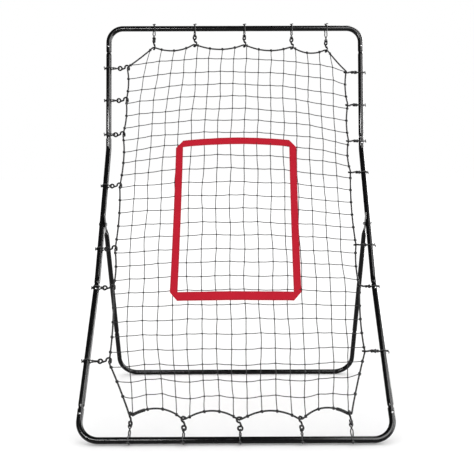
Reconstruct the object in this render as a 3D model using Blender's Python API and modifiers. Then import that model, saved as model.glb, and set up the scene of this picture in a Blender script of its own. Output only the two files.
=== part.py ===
"""Pitching target net: a bent steel-tube frame with a hinged rear leg, a net tied into the frame
with hooked elastic loops, and a strike-zone band on the net.

Metres, +Z up. X runs across the net, and +Y points away from the player.
Places along a side of the frame are given by their distance from the front bar's centre line,
measured along the side tubes, and places across the net by their X.
"""
import math

import bmesh
import bpy
from mathutils import Matrix, Vector

# frame: driving dimensions
HALF_WIDTH = 0.5225          # centre of a side tube
FRONT_BAR_Y = -0.3929        # puts the middle of the whole object's box on Y = 0
FRONT_BAR_Z = 0.0144         # the front bar lies on the elastic loops round it
SECTION_LENGTHS = (0.625, 0.577, 0.502)
SECTION_LEANS = (41.5, 31.5, 8.0)      # degrees back from vertical, lower to upper
LOWER_KINK = SECTION_LENGTHS[0]
UPPER_KINK = SECTION_LENGTHS[0] + SECTION_LENGTHS[1]
TOP_BAR = sum(SECTION_LENGTHS)
KINK_REACH = 0.011           # half the length of a kink's bend
FRONT_RADIUS = 0.011
REAR_RADIUS = 0.0095
WALL = 0.0012
BOTTOM_CORNER = 0.070        # centre-line radius of the bends
TOP_CORNER = 0.058
REAR_CORNER = 0.075

# slip joints between the tubes: places of the rims along the side
LOWER_RIM = 0.109
MIDDLE_RIM = 0.596
UPPER_RIM = 1.2455
TOP_RIM = 1.608
NECK_DROP = 0.0019           # a swaged neck's radius is this much less than its tube's
NECK_SHOWN = 0.006
CONE = 0.008
INSERTION = 0.032
BUTTON_FROM_RIM = 0.020

# rear leg
PIVOT = UPPER_KINK - 0.6 * SECTION_LENGTHS[1]
REAR_BAR_Y = FRONT_BAR_Y + 0.774
LEG_TOP_X = 0.5095
LEG_FOOT_X = 0.501
LEG_RIM_ABOVE_BAR = 0.212
PLATE_THICKNESS = 0.003
PLATE_HALF_WIDTH = 0.0138
PLATE_ABOVE_PIVOT = 0.048
PLATE_TIP_FROM = 0.015       # above the pivot, where the plate starts to narrow
PLATE_END = 0.020            # below the pivot
ROUND_FROM = 0.050           # below the pivot
LEG_BORE_FROM = 0.110

# pivot fasteners
BOLT_RADIUS = 0.003
BOLT_HOLE_RADIUS = 0.0033
BOLT_HEAD_RADIUS = 0.0060
BOLT_HEAD_HEIGHT = 0.0020
WASHER_RADIUS = 0.0065
WASHER_THICKNESS = 0.0010
NUT_RADIUS = 0.0057
NUT_HEIGHT = 0.0045
BOLT_PAST_NUT = 0.0008
GAP = 0.0003

# net, border cord and strike-zone band
NET_THICKNESS = 0.002
NET_HALF_WIDTH = 0.426
NET_CORNER_HALF_WIDTH = 0.330
NET_BOTTOM = 0.120
NET_TOP = 1.594
NET_BOTTOM_CUT = 0.230       # how far up its sides the net's cut corners reach
NET_TOP_CUT = 0.105
NET_FORWARD = ((NET_BOTTOM, 0.0), (NET_BOTTOM + NET_BOTTOM_CUT, 0.006), (LOWER_KINK, 0.024),
               (0.910, 0.019), (UPPER_KINK, 0.036), (NET_TOP - NET_TOP_CUT, 0.011),
               (NET_TOP, 0.0))  # the taut net's middle stands in front of the frame by this
NET_COLUMNS = ((-1.0, 0.0), (-0.5, 0.75), (0.0, 1.0), (0.5, 0.75), (1.0, 0.0))
BORDER_RADIUS = 0.003
SCALLOP = 0.008              # how far the border bows in between two ties
HELD_STRAIGHT = 0.006        # the border is square to a hook this far on each side of it
BAND_THICKNESS = 0.0012
BAND_OUTER_HALF = 0.249
BAND_INNER_HALF = 0.221
BAND_BOTTOM = 0.522
BAND_TOP = 1.237
BAND_WIDTH = 0.027
BAND_IN_FRONT = 0.0045

# ties: (place along the side or across the bar, distance from the tube's centre to the border)
LEFT_TIES = ((1.538, 0.078), (1.402, 0.073), (1.262, 0.060), (1.027, 0.058), (0.749, 0.058),
             (0.585, 0.063), (0.284, 0.078))
RIGHT_TIES = ((1.519, 0.062), (1.383, 0.056), (1.233, 0.054), (1.088, 0.054), (0.763, 0.056),
              (0.588, 0.056), (0.320, 0.066))
TOP_TIES = ((-0.335, 0.080), (-0.166, 0.068), (0.040, 0.070), (0.236, 0.079), (0.379, 0.092))
BOTTOM_TIES = ((-0.352, 0.088), (-0.173, 0.073), (0.014, 0.071), (0.218, 0.072), (0.383, 0.090))
ELASTIC_RADIUS = 0.0015
HOOK_RADIUS = 0.002
HOOK_BEND = 0.0057           # the hook's centre line round the border cord
HOOK_LENGTH = 0.030
LOOP_TURN_POINTS = 8

# snap buttons: pin radius, foot radius, foot bottom, foot top and crown, from the tube's centre
FRONT_BUTTON = (0.0035, 0.0046, 0.0044, 0.0054, 0.0135)
REAR_BUTTON = (0.0028, 0.0037, 0.0033, 0.0042, 0.0115)
BUTTON_HOLE_CLEARANCE = 0.0004

TUBE_SIDES_RESOLUTION = 4    # twelve-sided tubes
BASE_TILT = -6.6             # degrees, so that one of the rear bar's flats faces down
SIDES = 12


# ---------------------------------------------------------------- scene and materials
def clear_scene():
    for old in list(bpy.data.objects):
        bpy.data.objects.remove(old, do_unlink=True)


def new_collection(name):
    made = bpy.data.collections.new(name)
    bpy.context.scene.collection.children.link(made)
    return made


def make_material(name, colour, roughness, metallic):
    made = bpy.data.materials.new(name)
    made.use_nodes = True
    shader = made.node_tree.nodes["Principled BSDF"]
    shader.inputs["Base Color"].default_value = (*colour, 1.0)
    shader.inputs["Roughness"].default_value = roughness
    shader.inputs["Metallic"].default_value = metallic
    return made


clear_scene()
PARTS = new_collection("pitching_target_net")
CUTTERS = new_collection("cutters")
FRAME_BLACK = make_material("frame_black", (0.012, 0.012, 0.013), 0.25, 0.0)
FASTENER_STEEL = make_material("fastener_steel", (0.38, 0.38, 0.39), 0.35, 1.0)
BUTTON_STEEL = make_material("button_steel", (0.55, 0.55, 0.56), 0.3, 1.0)
NET_BLACK = make_material("net_black", (0.02, 0.02, 0.021), 0.85, 0.0)
CORD_BLACK = make_material("cord_black", (0.015, 0.015, 0.016), 0.8, 0.0)
ELASTIC_BLACK = make_material("elastic_black", (0.015, 0.015, 0.016), 0.7, 0.0)
STRIKE_RED = make_material("strike_red", (0.62, 0.012, 0.03), 0.7, 0.0)


# ---------------------------------------------------------------- the frame's side profile
def lean_direction(section):
    lean = math.radians(SECTION_LEANS[section])
    return Vector((0.0, math.sin(lean), math.cos(lean)))


def front_normal(section):
    """The direction square to a section of the frame, towards the player."""
    lean = math.radians(SECTION_LEANS[section])
    return Vector((0.0, -math.cos(lean), math.sin(lean)))


def section_at(place):
    if place < LOWER_KINK:
        return 0
    return 1 if place < UPPER_KINK else 2


def side_point(place, x=0.0, forward=0.0):
    """The point of the frame's surface at a place along the side, moved towards the player."""
    start = Vector((x, FRONT_BAR_Y, FRONT_BAR_Z))
    lower_kink = start + LOWER_KINK * lean_direction(0)
    upper_kink = lower_kink + SECTION_LENGTHS[1] * lean_direction(1)
    for kink, corner, section in ((LOWER_KINK, lower_kink, 0), (UPPER_KINK, upper_kink, 1)):
        if abs(place - kink) < KINK_REACH:
            part = (place - kink + KINK_REACH) / (2.0 * KINK_REACH)
            before = corner - KINK_REACH * lean_direction(section)
            after = corner + KINK_REACH * lean_direction(section + 1)
            point = (1 - part) ** 2 * before + 2 * part * (1 - part) * corner + part ** 2 * after
            normal = front_normal(section).lerp(front_normal(section + 1), part)
            return point + forward * normal.normalized()
    section = section_at(place)
    base = (start, lower_kink, upper_kink)[section]
    run = place - (0.0, LOWER_KINK, UPPER_KINK)[section]
    return base + run * lean_direction(section) + forward * front_normal(section)


def kink_places(kink):
    return [kink + KINK_REACH * step for step in (-1.0, -0.5, 0.0, 0.5, 1.0)]


def arc_corner(before, corner, after, radius, steps):
    """Points of a round bend of the given radius at a corner of a path."""
    first = (before - corner).normalized()
    second = (after - corner).normalized()
    half_angle = first.angle(second) / 2.0
    tangent = radius / math.tan(half_angle)
    centre = corner + (first + second).normalized() * (radius / math.sin(half_angle))
    start = corner + tangent * first - centre
    end = corner + tangent * second - centre
    axis = start.cross(end)
    sweep = start.angle(end)
    return [centre + Matrix.Rotation(sweep * step / steps, 3, axis) @ start
            for step in range(steps + 1)]


# ---------------------------------------------------------------- building blocks
def link(made, material, collection=None):
    (collection or PARTS).objects.link(made)
    made.data.materials.append(material)
    return made


def curve_object(name, points, radii, resolution, material, capped=True, tilt=0.0):
    """A tube along a path, with its own radius at each point."""
    curve = bpy.data.curves.new(name, "CURVE")
    curve.dimensions = "3D"
    curve.bevel_depth = max(radii)
    curve.bevel_resolution = resolution
    curve.use_fill_caps = capped
    spline = curve.splines.new("POLY")
    spline.points.add(len(points) - 1)
    for slot, point, radius in zip(spline.points, points, radii):
        slot.co = (*point, 1.0)
        slot.radius = radius / curve.bevel_depth
        slot.tilt = tilt
    return link(bpy.data.objects.new(name, curve), material)


def as_mesh(made):
    """The same piece as a mesh object, with its caps welded on."""
    graph = bpy.context.evaluated_depsgraph_get()
    graph.update()
    mesh = bpy.data.meshes.new_from_object(made.evaluated_get(graph))
    work = bmesh.new()
    work.from_mesh(mesh)
    bmesh.ops.remove_doubles(work, verts=work.verts, dist=0.000001)
    work.to_mesh(mesh)
    work.free()
    name = made.name
    matrix = made.matrix_world.copy()
    curve = made.data
    bpy.data.objects.remove(made, do_unlink=True)
    bpy.data.curves.remove(curve)
    solid = bpy.data.objects.new(name, mesh)
    solid.matrix_world = matrix
    PARTS.objects.link(solid)
    smooth(solid)
    return solid


def smooth(made, angle=40.0):
    made.data.shade_smooth()
    made.data.set_sharp_from_angle(angle=math.radians(angle))


def hollow_tube(name, points, radii, tilt=0.0):
    """A steel tube with a wall, open at both ends."""
    tube = curve_object(name, points, radii, TUBE_SIDES_RESOLUTION, FRAME_BLACK, False, tilt)
    tube = as_mesh(tube)
    shell = tube.modifiers.new("wall", "SOLIDIFY")
    shell.thickness = WALL
    shell.offset = -1.0
    shell.use_even_offset = True
    return tube


def turned_mesh(name, profile, steps=SIDES):
    """A solid turned round local Z from (radius, height) pairs, listed from top to bottom."""
    work = bmesh.new()
    outline = [work.verts.new((radius, 0.0, height)) for radius, height in profile]
    for first, second in zip(outline, outline[1:]):
        work.edges.new((first, second))
    bmesh.ops.spin(work, geom=work.verts[:] + work.edges[:], cent=(0, 0, 0), axis=(0, 0, 1),
                   angle=2.0 * math.pi, steps=steps)
    bmesh.ops.remove_doubles(work, verts=work.verts, dist=0.000001)
    bmesh.ops.recalc_face_normals(work, faces=work.faces)
    mesh = bpy.data.meshes.new(name)
    work.to_mesh(mesh)
    work.free()
    return mesh


def place_along(made, origin, axis):
    """Stand a turned piece at a point, with its local Z along an axis."""
    made.matrix_world = Matrix.Translation(origin) @ axis.to_track_quat("Z", "X").to_matrix().to_4x4()


def turned(name, profile, origin, axis, material, steps=SIDES):
    made = link(bpy.data.objects.new(name, turned_mesh(name, profile, steps)), material)
    place_along(made, origin, axis)
    smooth(made)
    return made


def cutter_cylinder(name, start, end, radius):
    work = bmesh.new()
    bmesh.ops.create_cone(work, cap_ends=True, segments=SIDES, radius1=radius, radius2=radius,
                          depth=(end - start).length)
    mesh = bpy.data.meshes.new(name)
    work.to_mesh(mesh)
    work.free()
    cutter = bpy.data.objects.new(name, mesh)
    CUTTERS.objects.link(cutter)
    place_along(cutter, (start + end) / 2.0, (end - start).normalized())
    cutter.hide_render = True
    cutter.display_type = "WIRE"
    return cutter


def cut(made, cutter):
    boolean = made.modifiers.new(cutter.name, "BOOLEAN")
    boolean.operation = "DIFFERENCE"
    boolean.solver = "EXACT"
    boolean.object = cutter


# ---------------------------------------------------------------- front frame tubes
def male_end(rim, towards_tip):
    """Places and radii of a swaged end, from its tip to the full tube."""
    neck = FRONT_RADIUS - NECK_DROP
    return [(rim + towards_tip * INSERTION, neck),
            (rim - towards_tip * NECK_SHOWN, neck),
            (rim - towards_tip * (NECK_SHOWN + CONE), FRONT_RADIUS)]


def side_tube(name, side, stations):
    points = [side_point(place, side * HALF_WIDTH) for place, _ in stations]
    return hollow_tube(name, points, [radius for _, radius in stations])


def make_side_tubes(side, label):
    full = FRONT_RADIUS
    lower = side_tube(f"lower_side_tube_{label}", side,
                      male_end(LOWER_RIM, -1) + [(MIDDLE_RIM, full)])
    bends = [(place, full) for place in kink_places(LOWER_KINK) + kink_places(UPPER_KINK)]
    middle = side_tube(f"middle_side_tube_{label}", side,
                       male_end(MIDDLE_RIM, -1) + bends + [(UPPER_RIM, full)])
    upper = side_tube(f"upper_side_tube_{label}", side,
                      male_end(UPPER_RIM, -1) + male_end(TOP_RIM, 1)[::-1])
    return lower, middle, upper


def u_tube(name, rim, bar, radius, steps=6):
    """The top or bottom of the frame: a bar with a bend and a short socket at each end."""
    corners = [side_point(bar, side * HALF_WIDTH) for side in (-1, 1)]
    ends = [side_point(rim, side * HALF_WIDTH) for side in (-1, 1)]
    points = [ends[0]]
    points += arc_corner(ends[0], corners[0], corners[1], radius, steps)
    points += arc_corner(corners[0], corners[1], ends[1], radius, steps)
    points.append(ends[1])
    return hollow_tube(name, points, [FRONT_RADIUS] * len(points))


# ---------------------------------------------------------------- rear leg
PIVOT_POINT = side_point(PIVOT)
REAR_BAR_Z = REAR_RADIUS * math.cos(math.pi / SIDES)
LEG_FOOT = Vector((0.0, REAR_BAR_Y, REAR_BAR_Z))
LEG_LENGTH = (LEG_FOOT - PIVOT_POINT).length
LEG_LEAN = math.atan2(LEG_FOOT.y - PIVOT_POINT.y, PIVOT_POINT.z - LEG_FOOT.z)
LEG_RIM = LEG_LENGTH - LEG_RIM_ABOVE_BAR
LEG_BACK = Vector((0.0, math.cos(LEG_LEAN), math.sin(LEG_LEAN)))


def leg_point(side, along):
    """The point of a rear leg's centre line at a distance below the pivot."""
    part = along / LEG_LENGTH
    middle = PIVOT_POINT.lerp(LEG_FOOT, part)
    x = LEG_TOP_X + (LEG_FOOT_X - LEG_TOP_X) * part
    return Vector((side * x, middle.y, middle.z))


def leg_section(along):
    """Half thickness, half width and squareness of a rear leg at a distance below the pivot."""
    flat = PLATE_THICKNESS / 2.0
    if along <= PLATE_END:
        tip = max(0.0, (-along - PLATE_TIP_FROM) / (PLATE_ABOVE_PIVOT - PLATE_TIP_FROM))
        return flat, PLATE_HALF_WIDTH * math.sqrt(1.0 - 0.85 * tip * tip), 0.4
    part = min(1.0, (along - PLATE_END) / (ROUND_FROM - PLATE_END))
    return (flat + (REAR_RADIUS - flat) * part,
            PLATE_HALF_WIDTH + (REAR_RADIUS - PLATE_HALF_WIDTH) * part, 0.4 + 0.6 * part)


def leg_mesh(name, side):
    """A tube whose upper end is pressed flat for the pivot bolt."""
    narrowing = PLATE_TIP_FROM - PLATE_ABOVE_PIVOT
    stations = [part * narrowing - PLATE_TIP_FROM for part in (1.0, 0.92, 0.8, 0.6, 0.3, 0.0)]
    stations += [PLATE_END, (PLATE_END + ROUND_FROM) / 2.0, ROUND_FROM, LEG_RIM]
    work = bmesh.new()
    rings = []
    for along in stations:
        thick, wide, power = leg_section(along)
        centre = leg_point(side, along)
        ring = []
        for index in range(SIDES):
            angle = 2.0 * math.pi * (index + 0.5) / SIDES
            across = math.copysign(abs(math.cos(angle)) ** power, math.cos(angle)) * thick
            back = math.copysign(abs(math.sin(angle)) ** power, math.sin(angle)) * wide
            ring.append(work.verts.new(centre + Vector((across, 0.0, 0.0)) + back * LEG_BACK))
        rings.append(ring)
    for first, second in zip(rings, rings[1:]):
        for index in range(SIDES):
            after = (index + 1) % SIDES
            work.faces.new((first[index], first[after], second[after], second[index]))
    work.faces.new(rings[0])
    work.faces.new(rings[-1])
    bmesh.ops.recalc_face_normals(work, faces=work.faces)
    mesh = bpy.data.meshes.new(name)
    work.to_mesh(mesh)
    work.free()
    return mesh


def make_rear_leg(side, label):
    name = f"rear_leg_{label}"
    leg = link(bpy.data.objects.new(name, leg_mesh(name, side)), FRAME_BLACK)
    smooth(leg)
    bore_end = leg_point(side, LEG_RIM + 0.01)
    cut(leg, cutter_cylinder(f"bore_{name}", leg_point(side, LEG_BORE_FROM), bore_end,
                             REAR_RADIUS - WALL))
    return leg


def make_rear_base():
    """The U that joins the two rear legs and lies on the ground."""
    neck = REAR_RADIUS - NECK_DROP
    corners = [leg_point(side, LEG_LENGTH) for side in (-1, 1)]
    uppers = [[leg_point(side, LEG_RIM + shift) for shift in
               (-INSERTION, NECK_SHOWN, NECK_SHOWN + CONE)] for side in (-1, 1)]
    points = list(uppers[0])
    points += arc_corner(uppers[0][-1], corners[0], corners[1], REAR_CORNER, 6)
    points += arc_corner(corners[0], corners[1], uppers[1][-1], REAR_CORNER, 6)
    points += uppers[1][::-1]
    radii = [neck, neck, REAR_RADIUS] + [REAR_RADIUS] * (len(points) - 6) + [REAR_RADIUS, neck, neck]
    return hollow_tube("rear_base_u", points, radii, math.radians(BASE_TILT))


# ---------------------------------------------------------------- snap buttons
def make_button(name, seat, normal, sizes, tubes):
    """A domed pin that stands through both tubes of a slip joint, and the holes for it."""
    pin, foot, foot_bottom, foot_top, crown = sizes
    profile = [(0.0, crown), (0.6 * pin, crown - 0.25 * pin), (pin, crown - 0.6 * pin),
               (pin, foot_top), (foot, foot_top), (foot, foot_bottom), (0.0, foot_bottom)]
    button = turned(name, profile, seat, normal, BUTTON_STEEL)
    hole = cutter_cylinder(f"hole_{name}", seat + 0.5 * foot_bottom * normal,
                           seat + 2.0 * crown * normal, pin + BUTTON_HOLE_CLEARANCE)
    for tube in tubes:
        cut(tube, hole)
    return button


# ---------------------------------------------------------------- pivot fasteners
def make_pivot(side, label, frame_tube, leg):
    centre = Vector((side * HALF_WIDTH, PIVOT_POINT.y, PIVOT_POINT.z))
    outward = Vector((side, 0.0, 0.0))
    hole = cutter_cylinder(f"pivot_hole_{label}", centre - 0.05 * outward, centre + 0.05 * outward,
                           BOLT_HOLE_RADIUS)
    cut(frame_tube, hole)
    cut(leg, hole)
    seat = FRONT_RADIUS + GAP
    washer_face = LEG_TOP_X - PLATE_THICKNESS / 2.0 - GAP - HALF_WIDTH
    nut_face = washer_face - WASHER_THICKNESS - GAP
    tip = nut_face - NUT_HEIGHT - BOLT_PAST_NUT
    turned(f"pivot_bolt_{label}",
           [(0.0, seat + BOLT_HEAD_HEIGHT), (0.6 * BOLT_HEAD_RADIUS, seat + 0.8 * BOLT_HEAD_HEIGHT),
            (BOLT_HEAD_RADIUS, seat + 0.3 * BOLT_HEAD_HEIGHT), (BOLT_HEAD_RADIUS, seat),
            (BOLT_RADIUS, seat), (BOLT_RADIUS, tip), (0.0, tip)], centre, outward, FASTENER_STEEL)
    turned(f"pivot_washer_{label}",
           [(BOLT_HOLE_RADIUS, washer_face), (WASHER_RADIUS, washer_face),
            (WASHER_RADIUS, washer_face - WASHER_THICKNESS),
            (BOLT_HOLE_RADIUS, washer_face - WASHER_THICKNESS), (BOLT_HOLE_RADIUS, washer_face)],
           centre, outward, FASTENER_STEEL)
    nut = turned(f"pivot_nut_{label}",
                 [(0.0, nut_face), (NUT_RADIUS, nut_face), (NUT_RADIUS, nut_face - NUT_HEIGHT),
                  (0.0, nut_face - NUT_HEIGHT)], centre, outward, FASTENER_STEEL, steps=6)
    cut(nut, hole)


# ---------------------------------------------------------------- net, border and band
def between(pairs, value):
    """The value that a list of (from, to) pairs gives, in straight lines between the pairs."""
    for (first, low), (second, high) in zip(pairs, pairs[1:]):
        if value <= second:
            return low + (high - low) * (value - first) / (second - first)
    return pairs[-1][1]


def net_forward(x, place):
    """How far the taut net stands in front of the frame's surface."""
    return between(NET_COLUMNS, x / NET_HALF_WIDTH) * between(NET_FORWARD, place)


def sheet_object(name, rows, columns, in_front, thickness, material, is_open=None):
    """A sheet that follows the taut net, through a grid of places and of X values per place."""
    work = bmesh.new()
    grid = [[work.verts.new(side_point(place, x, net_forward(x, place) + in_front))
             for x in columns(place)] for place in rows]
    for row, (low, high) in enumerate(zip(grid, grid[1:])):
        for column in range(len(low) - 1):
            if is_open is None or not is_open(row, column):
                work.faces.new((low[column], low[column + 1], high[column + 1], high[column]))
    mesh = bpy.data.meshes.new(name)
    work.to_mesh(mesh)
    work.free()
    made = link(bpy.data.objects.new(name, mesh), material)
    shell = made.modifiers.new("thickness", "SOLIDIFY")
    shell.thickness = thickness
    shell.offset = 0.0
    shell.use_even_offset = True
    return made


def make_net():
    def columns(place):
        narrow = place in (NET_BOTTOM, NET_TOP)
        half = NET_CORNER_HALF_WIDTH if narrow else NET_HALF_WIDTH
        return [share * half for share, _ in NET_COLUMNS]
    rows = [place for place, _ in NET_FORWARD]
    sheet_object("net", rows, columns, 0.0, NET_THICKNESS, NET_BLACK)


def make_band():
    low, high = BAND_BOTTOM + BAND_WIDTH, BAND_TOP - BAND_WIDTH
    rows = [BAND_BOTTOM, low] + [place for place, _ in NET_FORWARD if low < place < high]
    rows += [high, BAND_TOP]
    inner = [share * NET_HALF_WIDTH for share, _ in NET_COLUMNS[1:-1]]
    across = [-BAND_OUTER_HALF, -BAND_INNER_HALF] + inner + [BAND_INNER_HALF, BAND_OUTER_HALF]

    def is_open(row, column):
        return 0 < row < len(rows) - 2 and 0 < column < len(across) - 2
    sheet_object("strike_zone_band", rows, lambda place: across, BAND_IN_FRONT, BAND_THICKNESS,
                 STRIKE_RED, is_open)


def border_stops():
    """Where the border cord is held, in order round the net: points (x, place) and their runs."""
    along_x = Vector((1.0, 0.0))
    along_side = Vector((0.0, 1.0))
    left = [(Vector((reach - HALF_WIDTH, place)), along_side) for place, reach in LEFT_TIES]
    right = [(Vector((HALF_WIDTH - reach, place)), -along_side) for place, reach in RIGHT_TIES]
    top = [(Vector((x, TOP_BAR - reach)), along_x) for x, reach in TOP_TIES]
    bottom = [(Vector((x, reach)), -along_x) for x, reach in BOTTOM_TIES]
    return top + right + bottom[::-1] + left[::-1]


def make_border():
    """The cord round the net, which lies square in each hook and bows in between the ties."""
    stops = border_stops()
    net_middle = Vector((0.0, TOP_BAR / 2.0))
    points = []
    for (held, run), (next_held, next_run) in zip(stops, stops[1:] + stops[:1]):
        leaving = held + HELD_STRAIGHT * run
        arriving = next_held - HELD_STRAIGHT * next_run
        chord = (arriving - leaving).normalized()
        inward = Vector((chord.y, -chord.x))
        if inward.dot(leaving - net_middle) > 0.0:
            inward.negate()
        places = [leaving]
        places += [leaving.lerp(arriving, part) + SCALLOP * inward for part in (0.35, 0.65)]
        places.append(arriving)
        points += [side_point(place.y, place.x) for place in places]
    border = curve_object("net_border_cord", points, [BORDER_RADIUS] * len(points), 1, CORD_BLACK)
    border.data.splines[0].use_cyclic_u = True
    border.data.use_fill_caps = False


# ---------------------------------------------------------------- ties
def tie_path(reach):
    """Outline of a tie as (distance from the tube's centre, height in front, radius)."""
    turn = (FRONT_RADIUS + GAP + ELASTIC_RADIUS) / math.cos(math.pi / LOOP_TURN_POINTS)
    shank = reach - HOOK_LENGTH
    path = [(shank - 0.004, -0.0032, ELASTIC_RADIUS)]
    for step in range(6):
        angle = math.radians(-67.5 - 45.0 * step)
        path.append((turn * math.cos(angle), turn * math.sin(angle), ELASTIC_RADIUS))
    path.append((shank - 0.004, 0.0006, ELASTIC_RADIUS))
    path.append((shank, 0.0003, HOOK_RADIUS))
    path.append((reach - 2.2 * HOOK_BEND, 0.0, HOOK_RADIUS))
    for angle in (120.0, 75.0, 30.0, -15.0, -60.0):
        around = math.radians(angle)
        path.append((reach + HOOK_BEND * math.cos(around), HOOK_BEND * math.sin(around),
                     HOOK_RADIUS))
    return path


def make_tie(name, tube_centre, inward, front, reach):
    path = tie_path(reach)
    points = [tube_centre + along * inward + height * front for along, height, _ in path]
    curve_object(name, points, [radius for _, _, radius in path], 1, ELASTIC_BLACK)


def make_side_ties(side, label, ties):
    for number, (place, reach) in enumerate(ties, 1):
        make_tie(f"tie_{label}_{number}", side_point(place, side * HALF_WIDTH),
                 Vector((-side, 0.0, 0.0)), front_normal(section_at(place)), reach)


def make_bar_ties(label, ties, bar, section, towards):
    for number, (x, reach) in enumerate(ties, 1):
        make_tie(f"tie_{label}_{number}", side_point(bar, x), towards * lean_direction(section),
                 front_normal(section), reach)


# ---------------------------------------------------------------- the whole object
def hold_at_pivot(pieces):
    """An empty on the hinge's axis carries the rear leg."""
    pivot = bpy.data.objects.new("rear_leg_pivot", None)
    pivot.location = PIVOT_POINT
    PARTS.objects.link(pivot)
    for piece in pieces:
        piece.parent = pivot
        piece.matrix_parent_inverse = Matrix.Translation(-PIVOT_POINT)


def main():
    bottom = u_tube("bottom_u_tube", LOWER_RIM, 0.0, BOTTOM_CORNER)
    top = u_tube("top_u_tube", TOP_RIM, TOP_BAR, TOP_CORNER)
    base = make_rear_base()
    moving = [base]
    for side, label in ((-1, "left"), (1, "right")):
        lower, middle, upper = make_side_tubes(side, label)
        leg = make_rear_leg(side, label)
        moving.append(leg)
        joints = (("lower", LOWER_RIM - BUTTON_FROM_RIM, (bottom, lower)),
                  ("middle", MIDDLE_RIM - BUTTON_FROM_RIM, (lower, middle)),
                  ("upper", UPPER_RIM - BUTTON_FROM_RIM, (middle, upper)),
                  ("top", TOP_RIM + BUTTON_FROM_RIM, (upper, top)))
        for joint, place, tubes in joints:
            make_button(f"snap_button_{joint}_{label}", side_point(place, side * HALF_WIDTH),
                        front_normal(section_at(place)), FRONT_BUTTON, tubes)
        moving.append(make_button(f"snap_button_rear_{label}",
                                  leg_point(side, LEG_RIM - BUTTON_FROM_RIM), LEG_BACK,
                                  REAR_BUTTON, (leg, base)))
        make_pivot(side, label, middle, leg)
    make_net()
    make_band()
    make_border()
    make_side_ties(-1, "left", LEFT_TIES)
    make_side_ties(1, "right", RIGHT_TIES)
    make_bar_ties("top", TOP_TIES, TOP_BAR, 2, -1)
    make_bar_ties("bottom", BOTTOM_TIES, 0.0, 0, 1)
    bpy.context.view_layer.update()
    hold_at_pivot(moving)


main()
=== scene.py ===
import random
from math import atan2, copysign, cos, dist, pi, radians, sin, sqrt, tan

import bmesh
import bpy
import numpy as np
from mathutils import Matrix, Vector
from mathutils.bvhtree import BVHTree


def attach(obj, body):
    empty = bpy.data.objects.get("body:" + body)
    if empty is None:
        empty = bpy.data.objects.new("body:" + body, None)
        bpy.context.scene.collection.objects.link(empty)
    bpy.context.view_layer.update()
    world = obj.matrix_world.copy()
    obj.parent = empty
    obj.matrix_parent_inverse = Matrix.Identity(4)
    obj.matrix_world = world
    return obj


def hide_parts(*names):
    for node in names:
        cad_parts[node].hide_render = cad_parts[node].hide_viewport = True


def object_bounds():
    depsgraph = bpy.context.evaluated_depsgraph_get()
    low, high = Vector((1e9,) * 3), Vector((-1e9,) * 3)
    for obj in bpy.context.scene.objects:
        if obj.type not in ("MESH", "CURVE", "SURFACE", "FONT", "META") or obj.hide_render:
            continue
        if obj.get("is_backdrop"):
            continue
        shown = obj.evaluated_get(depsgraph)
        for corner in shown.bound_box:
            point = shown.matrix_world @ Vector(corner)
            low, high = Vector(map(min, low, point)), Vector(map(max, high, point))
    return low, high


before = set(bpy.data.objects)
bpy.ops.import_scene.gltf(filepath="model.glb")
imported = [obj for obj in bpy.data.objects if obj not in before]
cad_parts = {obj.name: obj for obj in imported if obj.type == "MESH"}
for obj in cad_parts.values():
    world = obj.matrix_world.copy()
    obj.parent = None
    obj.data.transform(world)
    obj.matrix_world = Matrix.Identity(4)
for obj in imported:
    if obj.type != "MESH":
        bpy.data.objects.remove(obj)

CAD_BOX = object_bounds()
DICE = random.Random(7)

# the CAD's bodies
ROOT = "front_frame"
REAR = "rear_leg"

# ---- the frame's dimensions, metres
FRONT_RADIUS = 0.011
REAR_RADIUS = 0.0095
WALL = 0.0012
HALF_WIDTH = 0.5225
FRONT_BAR_Y = -0.3929
FRONT_BAR_Z = 0.0144
SECTION_LENGTHS = (0.625, 0.577, 0.502)
SECTION_LEANS = (41.5, 31.5, 8.0)
LOWER_KINK = SECTION_LENGTHS[0]
UPPER_KINK = LOWER_KINK + SECTION_LENGTHS[1]
TOP_BAR = UPPER_KINK + SECTION_LENGTHS[2]
KINK_REACH = 0.011
BOTTOM_CORNER = 0.070
TOP_CORNER = 0.058
REAR_CORNER = 0.075
LOWER_RIM = 0.109
MIDDLE_RIM = 0.596
UPPER_RIM = 1.2455
TOP_RIM = 1.608
NECK_DROP = 0.0019
NECK_SHOWN = 0.006
CONE = 0.008
INSERTION = 0.032
BUTTON_FROM_RIM = 0.020
PIVOT = UPPER_KINK - 0.6 * SECTION_LENGTHS[1]
REAR_BAR_Y = FRONT_BAR_Y + 0.774
REAR_BAR_Z = 0.00918
LEG_TOP_X = 0.5095
LEG_FOOT_X = 0.501
LEG_RIM_ABOVE_BAR = 0.212
PLATE_HALF_THICKNESS = 0.0015
PLATE_HALF_WIDTH = 0.0138
PLATE_ABOVE_PIVOT = 0.048
PLATE_TIP_FROM = 0.015
PLATE_TIP = PLATE_ABOVE_PIVOT - PLATE_TIP_FROM
PLATE_END = 0.020
ROUND_FROM = 0.050
RIM_ROUND = 0.0004
BORE_DEPTH = INSERTION + 0.004

# how finely the tubes are drawn, and the sharpest angle that is shaded smooth
TUBE_SIDES = 36
BUTTON_SIDES = 24
BEND_STEPS = 18
CREASE = 35.0

# snap buttons: (radius, height of the crown over the tube's axis) and their holes
FRONT_BUTTON = (0.0035, 0.0135)
REAR_BUTTON = (0.0028, 0.0115)
BUTTON_FOOT = 0.0055
BUTTON_DOME = 0.45
HOLE_PLAY = 0.0005
HOLE_FROM = 0.0087
HOLE_TO = 0.03

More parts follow.
